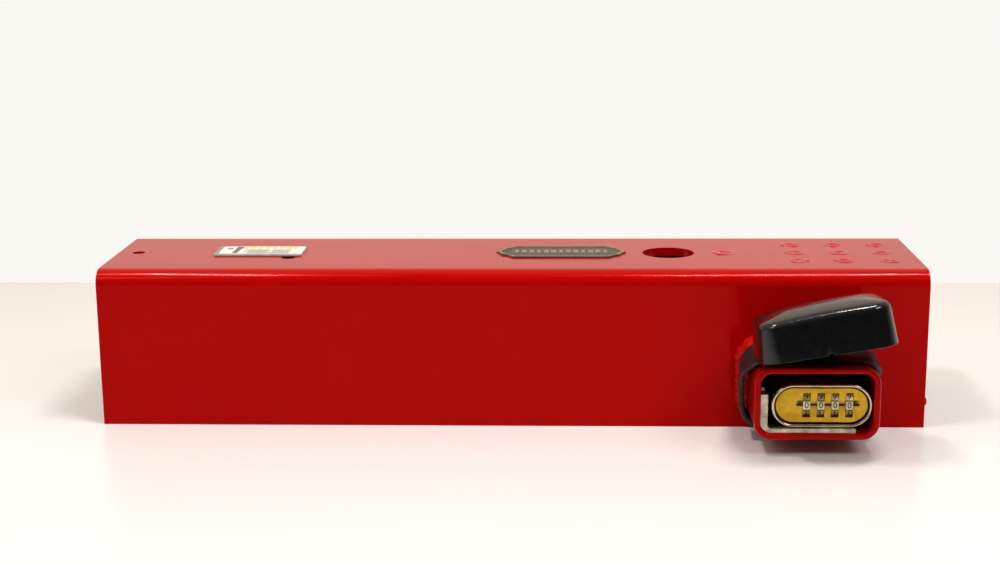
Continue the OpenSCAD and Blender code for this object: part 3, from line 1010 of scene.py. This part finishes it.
@dataclass
class RubberBoot:
    """Band round the tube, folded strap and the flipped cap, moulded in one rubber."""

    band_thick: float = 2.75
    band_wide: float = 17.0
    band_inset: float = 8.0
    # The band round the tube is real; its forward sleeve over the top of the tube is painted shade
    # and painted reflection under the cap.
    sleeve_from: float = 8.0
    sleeve_run: float = 17.0
    band_slack: float = 2.6
    cap_depth: float = 21.5
    cap_wall: float = 2.4
    cap_grow: float = 5.6
    cap_arch: float = 1.9
    cap_at: Point3 = (160.52, -48.0, 56.108)
    cap_turn: Point3 = (-7.26, -8.97, 1.39)
    strap_half: float = 13.0
    strap_thick: float = 2.0

    def build(self) -> None:
        """Makes the three soft pieces."""
        self.band()
        self.cap()
        self.strap()

    def moulded(
        self, bm: BMesh, name: str, body: str | None, finish: Finish, place: Matrix, node: str
    ) -> Object:
        """Adds one rubber piece in place of a CAD node."""
        return add_piece(bm, name, body, finish, place, node, 60)

    def band(self) -> None:
        """Rubber band with round edges and a slack left side."""
        bm = bmesh.new()
        grow, wide = self.band_thick, self.band_wide
        w, h, r = TUBE.width + 2 * grow, TUBE.height + 2 * grow, TUBE.radius + grow
        inside = grow - 0.02
        stations = rounding(0, 0, -1.1, -1)
        stations += [Station(0, 5.0), Station(0, 9.0), Station(0, 12.0)]
        stations += rounding(0, wide, 1.1, 1)
        stations += inner_rounding(inside, wide, 0.5, 2)
        stations += [Station(inside, 0.5)]
        loft(bm, w, h, r, stations, True, corner=12, side=12)
        for vert in bm.verts:
            # The sleeve thins out and runs forward over the top of the tube, a dark rubber sheet
            # that also stands in for the shade and dark reflection under the cap.
            co = vert.co
            rise = unit((co.y / (h / 2) - 0.1) / 0.8)
            front = unit((co.z - self.sleeve_from) / (wide - self.sleeve_from))
            co.z += self.sleeve_run * front * rise * rise * (3 - 2 * rise)
            out = max(abs(co.x) - TUBE.width / 2, abs(co.y) - TUBE.height / 2)
            if out > 1.2 and co.y > 0:
                thinned = 1.55 * min(1.0, front * rise * 1.2)
                co.y = min(co.y, TUBE.height / 2 + grow - thinned)
            # It stands away from the tube at its upper right corner.
            corner = unit((co.x / (w / 2) - 0.55) / 0.4) * rise * (1 - 0.7 * front)
            if out > 0.4:
                co += Vector((1.6, 0.9, 0)) * corner
            if co.x < -w / 2 + 8:
                slack = math.cos(min(abs(co.y) / (h / 2), 1) * math.pi / 2) ** 0.7
                co.x -= self.band_slack * slack * (0.4 + 0.6 * co.z / wide)
        place = towards_user(TUBE.x, -self.band_inset, TUBE.z)
        matt = Finish.MATT_RUBBER
        self.moulded(bm, "boot_band_loop", "channel_body", matt, place, "boot_band")

    def cap_place(self) -> Matrix:
        """Gives the placement of the cap's mouth at rest.

        Returns:
            The matrix, from millimetres to metres.
        """
        turn = Euler([math.radians(a) for a in self.cap_turn], "XYZ").to_matrix().to_4x4()
        x, y, z = self.cap_at
        return TO_METRES @ Matrix.Translation((x, y + FACE_Y, z)) @ turn

    def cap_stations(self) -> list[Station]:
        """Lists the cap's section, from the middle of its crown round the lip to the inside.

        Returns:
            The stations in order.
        """
        d, wall = self.cap_depth, self.cap_wall
        outer = [Station(0.2, 0.0), Station(0.0, 0.2), Station(0.42, 7.0), Station(1.1, d - 4.4)]
        outer += [
            Station(1.1 + 3.7 * (1 - math.cos(a)), d - 4.4 + 3.7 * math.sin(a))
            for a in (0.25, 0.5, 0.75, 1.0, 1.25)
        ]
        crown = [(5.2, -0.55), (8.5, -0.1), (12.5, 0.3), (16.5, 0.5), (20.9, 0.6)]
        outer += [Station(inset, d + rise) for inset, rise in crown]
        inner = [Station(wall - 0.35, 0.0), Station(wall, 0.5), Station(wall + 1.2, d - 9)]
        inner += [Station(wall + 3.4, d - wall - 1.6), Station(wall + 9, d - wall - 0.6)]
        return outer[::-1] + inner + [Station(20.2, d - wall - 0.3)]

    def cap(self) -> None:
        """Crowned cap with draft, a hollow inside and a nick in its lip."""
        bm = bmesh.new()
        w, h, r = TUBE.width + self.cap_grow, TUBE.height + self.cap_grow, TUBE.radius + 2.3
        d = self.cap_depth
        loft(bm, w, h, r, self.cap_stations(), False, corner=12, side=10)
        for vert in bm.verts:
            # The crown arches along the width, most of all over its back half.
            co = vert.co
            over = unit((co.z - d + 6.0) / 6.0)
            back = 0.85 + 0.15 * co.y / (h / 2)
            co.z += self.cap_arch * over * back * (1 - (co.x / (w / 2)) ** 2)
            # The right end is deeper than the left one.
            lift = unit(co.z / d)
            co.z += lift * (0.1 + 1.2 * co.x / w * 2) + over * 0.5 * co.y / (h / 2)
        place, gloss = self.cap_place(), Finish.RUBBER
        obj = self.moulded(bm, "weather_cap_shell", "boot_cap", gloss, place, "weather_cap")
        nick = rod(1.3, 8.0, 24)
        at_lip = Matrix.Translation((0, -h / 2, -0.2)) @ Matrix.Rotation(math.pi / 2, 4, "X")
        bmesh.ops.transform(nick, matrix=place @ at_lip, verts=nick.verts)
        bmesh.ops.recalc_face_normals(nick, faces=nick.faces)
        carve(obj, nick)
        shade(obj.data, 60)

    def strap(self) -> None:
        """Strap that folds up from the band to the back of the cap."""
        bm = bmesh.new()
        x0 = self.cap_at[0]
        top = TUBE.z + TUBE.height / 2 + self.band_thick
        # Depth from the front flange, and height above the band.
        bends = [(-9.5, 0.1), (-16, 0.25), (-20.5, 1.2), (-23.0, 4.0), (-23.9, 8.0), (-24.3, 13.6)]
        path = [(y, top + rise) for y, rise in bends]
        rings = []
        for k, (y, z) in enumerate(path):
            (y0, z0), (y1, z1) = path[max(k - 1, 0)], path[min(k + 1, len(path) - 1)]
            along = Vector((0, y1 - y0, z1 - z0)).normalized()
            up = Vector((0, along.z, -along.y))
            ring = bmesh.ops.create_circle(bm, segments=24, radius=1.0)["verts"]
            section = outline_points(2 * self.strap_half, self.strap_thick, 0.8, 3, 3)
            for vert, (px, pz) in zip(ring, section):
                vert.co = Vector((x0 + px, y + FACE_Y, z)) + up * (pz + self.strap_thick / 2)
            rings.append(edges_of(ring))
        for a, b in zip(rings, rings[1:]):
            bmesh.ops.bridge_loops(bm, edges=a + b)
        for end in (rings[0], rings[-1]):
            bmesh.ops.contextual_create(bm, geom=end)
        bmesh.ops.recalc_face_normals(bm, faces=bm.faces)
        matt = Finish.MATT_RUBBER
        obj = self.moulded(bm, "boot_strap_fold", None, matt, TO_METRES, "boot_strap")
        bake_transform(obj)


# Pieces inside the lock and the channel that keep their shape.
INNER_PIECES: dict[Finish, str] = {
    Finish.STEEL: "lock_case case_back case_screws bolt_pin locking_spindle latch_pin "
    "dial_sleeve_1 dial_sleeve_2 dial_sleeve_3 dial_sleeve_4",
    Finish.SPRING: "detent_comb latch_spring",
    Finish.ZINC: "strike_tack_weld",
    Finish.ENAMEL: "receiver_weld lining_plate",
}


@dataclass
class LockPlug:
    """Bezel, brass face, number wheels and the strike beside them."""

    lock_x: float = 160.2
    lock_z: float = 26.2
    case_w: float = 49.4
    case_h: float = 20.9
    lip: float = 0.9
    front_y: float = -47.0
    plate_y: float = -45.4
    plate_grow: float = -2.8
    # Size of the black ring of painted shade in the gap round the brass plate.
    seal_grow: float = -1.25
    groove_run: float = 5.1
    case_y: float = -43.8
    window_half: float = 6.45
    wheel_y: float = -38.3916
    wheel_r: float = 8.0
    wheel_t: float = 3.6
    bore_r: float = 4.8
    pitch: float = 7.2
    first_x: float = 152.5
    wheels: int = 4
    text_size: float = 4.554

    def build(self) -> None:
        """Makes the lock plug and dresses its inner pieces."""
        self.bezel()
        self.face()
        self.seal()
        for index in range(self.wheels):
            self.wheel(index)
            self.digits(index)
        self.strike()
        self.bolts()
        for finish, nodes in INNER_PIECES.items():
            for node in nodes.split():
                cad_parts[node].data.materials[0] = finish.material

    def place(self) -> Matrix:
        """Placement of an oval on the front of the case."""
        return towards_user(self.lock_x, self.case_y, self.lock_z)

    def oval(self, grow: float, stations: list[Station], closed: bool) -> BMesh:
        """Lofts an oval of the case's size.

        Args:
            grow: How much wider and higher than the case it is.
            stations: Its loops in order.
            closed: True for a ring, False for a solid.

        Returns:
            The oval.
        """
        bm = bmesh.new()
        w, h = self.case_w + grow, self.case_h + grow
        loft(bm, w, h, h / 2, stations, closed, corner=16, side=10)
        return bm

    def bezel(self) -> None:
        """Plated oval ring with a round lip."""
        deep = self.case_y - self.front_y
        stations = [Station(0, -1.8)]
        stations += rounding(0, deep, 0.75, 1)
        stations += inner_rounding(self.lip + 0.6, deep, 0.7)
        # It steps back over the case's edge.
        stations += [Station(self.lip + 0.6, 0.02), Station(self.lip + 0.01, 0.0)]
        stations += [Station(self.lip + 0.01, -1.8)]
        bm = self.oval(2 * self.lip, stations, True)
        body, finish, slot = "lock_plug", Finish.CHROME, "bezel_chrome"
        add_piece(bm, "bezel_ring_plated", body, finish, self.place(), "bezel_ring")

    def face(self) -> None:
        """Brass plate with four windows and the index groove."""
        deep = self.case_y - self.plate_y
        stations = [Station(0, 0.0)] + rounding(0, deep, 0.35, 1, 3)
        bm = self.oval(self.plate_grow, stations, False)
        body, finish, slot = "lock_plug", Finish.BRASS, "face_brass"
        obj = add_piece(bm, "brass_face", body, finish, self.place(), "face_plate", 30)
        half, side = self.window_half, self.wheel_t / 2 + 0.15
        for index in range(self.wheels):
            x = self.first_x + self.pitch * index
            low = (x - side, self.plate_y - 1, self.lock_z - half)
            carve(obj, box(low, (x + side, self.case_y + 1, self.lock_z + half)))
        carve(obj, self.groove())
        shade(obj.data, 30)

    def groove(self) -> BMesh:
        """Makes the wedge-shaped index groove, deep at its lower wall.

        Returns:
            The cutter, in metres.
        """
        bm = bmesh.new()
        start = self.first_x - self.groove_run
        length = (self.wheels - 1) * self.pitch + 2 * self.groove_run
        # Depth into the plate and height about the index.
        section = [(-0.5, -0.5), (1.1, -0.45), (1.1, 0.35), (0.55, 1.3), (0.45, 2.5), (-0.5, 2.7)]
        y0, z0 = self.plate_y + FACE_Y, self.lock_z
        verts = [bm.verts.new((start, y0 + depth, z0 + z)) for depth, z in section]
        thicken(bm, [bm.faces.new(verts)], (length, 0, 0))
        bmesh.ops.scale(bm, vec=(MM, MM, MM), verts=bm.verts)
        return bm

    def seal(self) -> None:
        """Black ring of painted shade in the gap round the brass plate, and the black line in the
        index groove, which is also painted shade on the groove's lower wall.
        """
        # A black ring fills the gap between the plate and the bezel as painted shade.
        stations = [Station(0, 0), Station(0, 0.5), Station(0.7, 0.5), Station(0.7, 0)]
        bm = self.oval(self.seal_grow, stations, True)
        finish, slot = Finish.SEAL, "bezel_chrome"
        add_piece(bm, "face_gap_shade", "lock_plug", finish, self.place())
        # The black strip in the groove is partly the index mark and partly painted shade on the
        # groove's lower wall.
        last_x = self.first_x + (self.wheels - 1) * self.pitch
        low = (self.first_x - 5.0, self.plate_y + 0.55, self.lock_z - 0.45)
        line = box(low, (last_x + 5.0, self.plate_y + 1.3, self.lock_z + 0.35))
        metres = Matrix.Identity(4)
        add_piece(line, "index_line", "lock_plug", Finish.DIGIT, metres)

    def axle(self, index: int) -> Matrix:
        """Placement of one wheel's middle, in mm."""
        x = self.first_x + self.pitch * index
        return Matrix.Translation((x, self.wheel_y + FACE_Y, self.lock_z))

    def wheel(self, index: int) -> None:
        """Makes one ten-sided number wheel with its bore.

        Args:
            index: Which wheel, from the left, starting at zero.
        """
        bm = rod(self.wheel_r - 0.02, self.wheel_t, 10)
        across = [e for e in bm.edges if abs(e.verts[0].co.z - e.verts[1].co.z) > 1]
        round_edges(bm, across, 0.35)
        rims = [e for e in bm.edges if e.is_manifold and e.calc_face_angle(0) > 1.3]
        round_edges(bm, rims, 0.22)
        flat = Matrix.Rotation(math.radians(HALF_FLAT_DEG), 4, "Z")
        place = TO_METRES @ self.axle(index) @ Matrix.Rotation(math.pi / 2, 4, "Y") @ flat
        name, node = f"number_wheel_{index + 1}", f"dial_wheel_{index + 1}"
        body, slot = f"dial_{index + 1}", "wheel_brass"
        obj = add_piece(bm, name, body, Finish.WHEEL, place, node, 25)
        bore = rod(self.bore_r, 12, 48)
        bmesh.ops.transform(bore, matrix=place, verts=bore.verts)
        carve(obj, bore)
        shade(obj.data, 25)

    def digits(self, index: int) -> None:
        """Makes the painted digits of one wheel and the scribed lines between them.

        Args:
            index: Which wheel, from the left, starting at zero.
        """
        axle = self.axle(index)
        bm = bmesh.new()
        to_flat = self.wheel_r * math.cos(math.radians(HALF_FLAT_DEG)) + 0.005
        # An upright digit faces -Y on the front flat; later digits follow below it.
        stand = Matrix.Translation((0, -to_flat, 0)) @ Matrix.Rotation(math.pi / 2, 4, "X")
        for digit in range(10):
            turn = math.radians(FLAT_DEG * digit)
            scribe = bmesh.ops.create_cube(bm, size=1.0)["verts"]
            bmesh.ops.scale(bm, vec=(self.wheel_t - 0.3, 0.12, 0.6), verts=scribe)
            to_edge = Matrix.Rotation(turn + math.radians(HALF_FLAT_DEG), 4, "X")
            seat = axle @ to_edge @ Matrix.Translation((0, -self.wheel_r + 0.14, 0))
            bmesh.ops.transform(bm, matrix=seat, verts=scribe)
            mesh = self.digit_mesh(digit)
            mesh.transform(axle @ Matrix.Rotation(turn, 4, "X") @ stand)
            bm.from_mesh(mesh)
            bpy.data.meshes.remove(mesh)
        name, body = f"wheel_digits_{index + 1}", f"dial_{index + 1}"
        add_piece(bm, name, body, Finish.DIGIT, smooth_deg=30)

    def digit_mesh(self, digit: int) -> Mesh:
        """Makes one digit as a thin raised mesh.

        Args:
            digit: The digit, from 0 to 9.

        Returns:
            The mesh about its middle, in mm.
        """
        curve = bpy.data.curves.new("digit", "FONT")
        curve.body, curve.size, curve.extrude = str(digit), self.text_size, 0.03
        curve.align_x, curve.align_y = "CENTER", "CENTER"
        curve.resolution_u, curve.offset = 4, 0.05
        text = put("digit", curve)
        mesh = evaluated(text)
        bpy.data.objects.remove(text)
        bpy.data.curves.remove(curve)
        return mesh

    def strike(self) -> None:
        """Plated strike with slightly broken edges."""
        self.dressed("strike_bracket", "strike_angle", "channel_body", Finish.ZINC, 0.35)

    def bolts(self) -> None:
        """Cross bolt, nut, guide, receiver and latch with broken edges."""
        steel = Finish.STEEL
        self.dressed("cross_bolt", "cross_bolt_bar", "lock_plug", steel, 0.25)
        self.dressed("bolt_nut", "bolt_jam_nut", "lock_plug", steel, 0.4)
        self.dressed("bolt_guide", "bolt_guide_bush", "channel_body", steel, 0.4)
        self.dressed("bolt_receiver", "bolt_receiver_boss", "channel_body", steel, 0.6)
        self.dressed("latch_bolt", "latch_nose", "latch", Finish.ZINC, 0.12)

    def dressed(self, node: str, name: str, body: str, finish: Finish, width: float) -> None:
        """Replaces a CAD node by the same shape with its edges broken.

        Args:
            node: The CAD node.
            name: Name of the piece.
            body: Body that it rides on.
            finish: Its finish.
            width: Width of the broken edges, in mm.
        """
        bm = cad_copy(node)
        soften(bm, width)
        add_piece(bm, name, body, finish, node=node)


# ---- studio ----------------------------------------------------------------


@dataclass(frozen=True)
class Lamp:
    """One soft rectangular lamp: where it hangs, what it points at, its size and its watts."""

    name: str
    place: Point3
    aim: Point3
    size: Point2
    power: float

    def hang(self) -> None:
        """Puts the lamp into the scene."""
        data = bpy.data.lights.new(self.name, "AREA")
        data.shape, data.energy = "RECTANGLE", self.power
        data.size, data.size_y = self.size
        data.color = (1.0, 0.975, 0.945)
        obj = put(self.name, data)
        obj.location = self.place
        way = Vector(self.aim) - Vector(self.place)
        obj.rotation_euler = way.to_track_quat("-Z", "Y").to_euler()


@dataclass
class Studio:
    """Camera, table top, sky and soft lamps."""

    lens: float = 59.12
    place: Point3 = (31.0, -850.5, 273.1)
    pitch: float = 0.2228
    yaw: float = -0.0419
    roll: float = -0.0085
    table_half: Point2 = (2.4, 1.15)
    table_y: float = -0.814
    lamps: tuple[Lamp, ...] = (
        Lamp("overhead", (0.15, 0.15, 1.9), (0.05, 0, 0), (1.6, 0.7), 0.8),
        Lamp("left_box", (-0.75, -0.75, 1.05), (-0.05, 0, 0.05), (0.55, 0.4), 2.6),
        Lamp("right_box", (0.8, -0.7, 1.1), (0.1, 0, 0.05), (0.55, 0.4), 5.6),
        Lamp("left_strip", (-0.44, -0.24, 1.3), (-0.1, 0, 0.05), (0.3, 0.03), 7.0),
        Lamp("right_strip", (0.31, -0.24, 1.3), (0.1, 0, 0.05), (0.44, 0.03), 9.5),
    )

    def build(self) -> None:
        """Sets the whole stage."""
        bpy.context.scene.view_settings.view_transform = "Standard"
        self.camera()
        self.floor()
        self.sky()
        for lamp in self.lamps:
            lamp.hang()

    def camera(self) -> None:
        """Sets up the camera at the viewing angle."""
        sin, cos = math.sin, math.cos
        level = cos(self.pitch)
        forward = Vector((sin(self.yaw) * level, cos(self.yaw) * level, -sin(self.pitch)))
        flat = Vector((cos(self.yaw), -sin(self.yaw), 0))
        upright = flat.cross(forward)
        right = cos(self.roll) * flat + sin(self.roll) * upright
        up = -sin(self.roll) * flat + cos(self.roll) * upright
        data = bpy.data.cameras.new("camera")
        data.lens, data.sensor_width = self.lens, 36.0
        data.clip_start, data.clip_end = 0.05, 50.0
        obj = put("camera", data)
        turn = Matrix((right, up, -forward)).transposed().to_4x4()
        x, y, z = self.place
        obj.matrix_world = Matrix.Translation(Vector((x, y + FACE_Y, z)) * MM) @ turn
        bpy.context.scene.camera = obj

    def floor(self) -> None:
        """Lays the pale table top."""
        bm = bmesh.new()
        bmesh.ops.create_grid(bm, x_segments=1, y_segments=1, size=1.0)
        bmesh.ops.scale(bm, vec=(*self.table_half, 1), verts=bm.verts)
        bmesh.ops.translate(bm, vec=(0, self.table_y, 0), verts=bm.verts)
        mesh = as_mesh(bm, "floor")
        mesh.materials.append(Finish.TABLE.material)
        put("floor", mesh)

    def sky(self) -> None:
        """White studio air, dimmer on the user's side."""
        world = bpy.data.worlds.new("studio")
        bpy.context.scene.world = world
        world.use_nodes = True
        tree = world.node_tree
        way = add_node(tree, "ShaderNodeTexCoord").outputs["Generated"]
        x, y, z = add_node(tree, "ShaderNodeSeparateXYZ", Vector=way).outputs
        # The wall behind is white; the room on the user's side is nearly dark, brighter overhead.
        behind = remap(tree, calculate(tree, "MULTIPLY_ADD", x, -0.4, y), -0.6, 0.25)
        above = remap(tree, z, 0.35, 0.95, 0.0, 0.6)
        upper = calculate(tree, "MAXIMUM", behind, above)
        # Below the table top the room is white all round.
        share = calculate(tree, "MAXIMUM", upper, remap(tree, z, 0.0, -0.02))
        # The wall is brightest near the table.
        level = remap(tree, z, 0.02, 0.13)
        wall = mix(tree, level, (1.0, 0.97, 0.93, 1), (0.70, 0.62, 0.53, 1))
        tint = mix(tree, share, (0.03, 0.028, 0.027, 1), wall)
        feed(tree, tree.nodes["Background"], Color=tint, Strength=0.965)


def main() -> None:
    """Builds the lock and its stage."""
    logging.basicConfig(level=logging.INFO, format="%(message)s")
    Studio().build()
    Weldment().build()
    Plates().build()
    RubberBoot().build()
    LockPlug().build()


if __name__ == "__main__":
    main()
